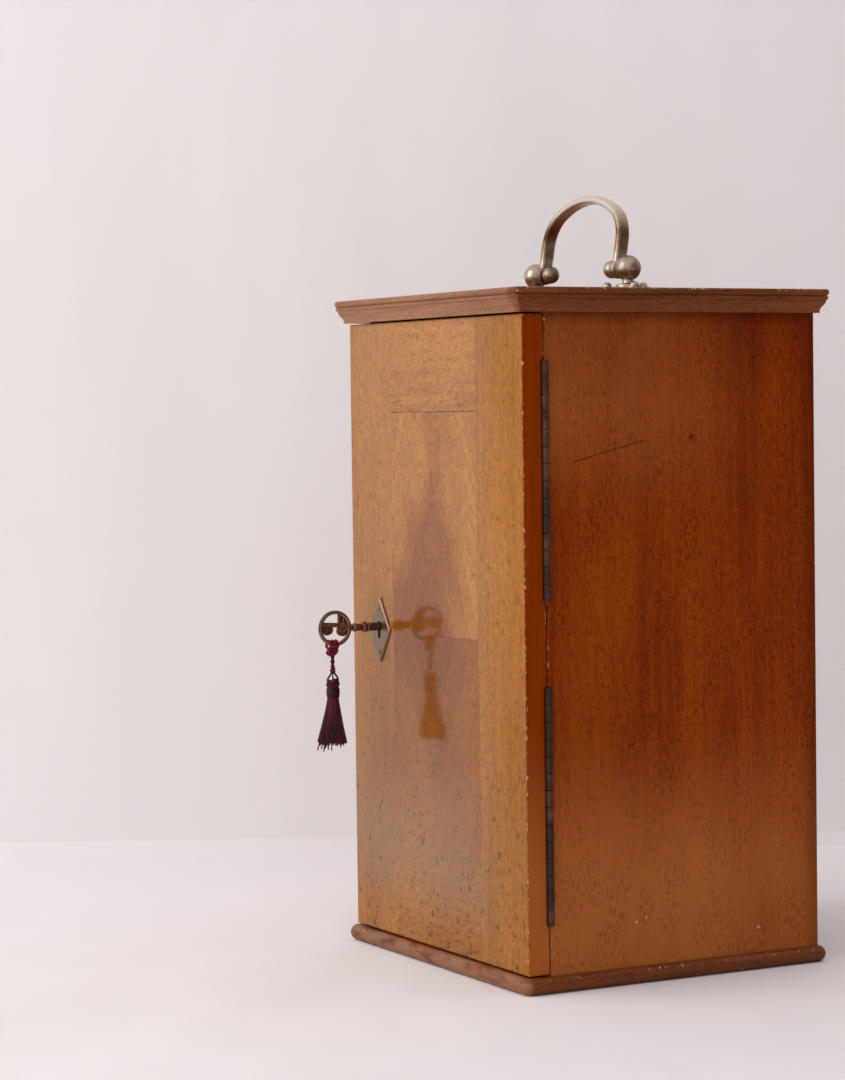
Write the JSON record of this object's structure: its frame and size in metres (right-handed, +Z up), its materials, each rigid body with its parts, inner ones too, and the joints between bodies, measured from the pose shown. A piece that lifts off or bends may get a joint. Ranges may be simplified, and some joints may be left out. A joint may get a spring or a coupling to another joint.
{
  "type": "wooden microscope case",
  "caption": "Upright hardwood case with a hinged, locking front door, a moulded base and top, a folding carrying handle, and fittings that hold a bench microscope.",
  "frame": {"origin": "on the underside of the base board, below the middle of the body (side to side between the outer faces of the side panels, and front to back between the door's face and the back)", "axes": "+Z up through the case, +X towards the hinged side, -Y out of the door"},
  "size_m": [0.214, 0.2334, 0.4288],
  "materials": {
    "mahogany": "shellac, worn satin gloss",
    "mahogany_dark": "shellac, darkened and worn at the edge",
    "mahogany_door": "shellac, faded and glossy",
    "mahogany_figured": "quarter-matched figured veneer under shellac",
    "mahogany_inside": "waxed, matt",
    "hinge_bronze": "dark tarnish",
    "lock_steel": "filed and oiled",
    "lock_brass": "dull brass",
    "escutcheon_nickel": "worn nickel plate",
    "key_bronze": "aged bronze",
    "handle_nickel": "aged nickel silver, grey brown",
    "tassel_thread": "twisted rayon thread"
  },
  "bodies": {
    "case": {"base_board": "mahogany_dark", "side_panel_left": "mahogany", "side_panel_right": "mahogany", "back_panel": "mahogany", "top_board": "mahogany", "hinge_leaf_case_upper": "hinge_bronze", "hinge_leaf_case_lower": "hinge_bronze", "hinge_pin_upper": "lock_steel", "hinge_pin_lower": "lock_steel", "hinge_screws_case": "hinge_bronze", "strike_plate": "lock_brass", "strike_screws": "lock_brass", "handle_post_left": "handle_nickel", "handle_post_right": "handle_nickel", "handle_pin_left": "handle_nickel", "handle_pin_right": "handle_nickel", "handle_screws": "handle_nickel", "foot_rail_left": "mahogany_inside", "foot_rail_right": "mahogany_inside", "foot_stop": "mahogany_inside", "can_rack": "mahogany_inside"},
    "door": {"door_stile_hinge": "mahogany_door", "door_stile_lock": "mahogany_door", "door_rail_top": "mahogany_door", "door_rail_bottom": "mahogany_door", "door_panel_upper": "mahogany_figured", "door_panel_lower": "mahogany_figured", "hinge_leaf_door_upper": "hinge_bronze", "hinge_leaf_door_lower": "hinge_bronze", "hinge_screws_door": "hinge_bronze", "lock_plate": "lock_brass", "lock_cap": "lock_brass", "lock_spring": "lock_steel", "lock_screws": "lock_brass", "escutcheon": "escutcheon_nickel", "escutcheon_pins": "escutcheon_nickel"},
    "key": {"key": "key_bronze"},
    "bolt": {"lock_bolt": "lock_steel"},
    "tassel": {"tassel_cord": "tassel_thread", "tassel_head": "tassel_thread", "tassel_skirt": "tassel_thread"},
    "bail": {"handle_bail": "handle_nickel"},
    "bar": {"foot_bar": "mahogany_inside"}
  },
  "joints": [
    {"name": "door_swing", "type": "hinge", "parent": "case", "child": "door", "pos_m": [0.101, -0.08, 0.18], "axis": [0, 0, 1], "range_deg": [0, 180]},
    {"name": "key_turn", "type": "hinge", "parent": "door", "child": "key", "pos_m": [-0.0645, -0.0932, 0.1863], "axis": [0, 1, 0], "range_deg": [0, 90]},
    {"name": "bolt_throw", "type": "slide", "parent": "door", "child": "bolt", "axis": [-1, 0, 0], "range_m": [0, 0.0063]},
    {"name": "tassel_hang", "type": "hinge", "parent": "key", "child": "tassel", "pos_m": [-0.0645, -0.1248, 0.17728], "axis": [0, 1, 0], "range_deg": [-90, 0]},
    {"name": "bail_swing", "type": "hinge", "parent": "case", "child": "bail", "pos_m": [0, 0.004, 0.3867], "axis": [1, 0, 0], "range_deg": [-84, 103]},
    {"name": "bar_lift", "type": "slide", "parent": "case", "child": "bar", "axis": [0, 0, 1], "range_m": [0, 0.024]}
  ],
  "couplings": [
    {"joint": "key_turn", "follows": "bolt_throw", "rad_per_m": 249.33},
    {"joint": "tassel_hang", "follows": "bolt_throw", "rad_per_m": -249.33}
  ]
}
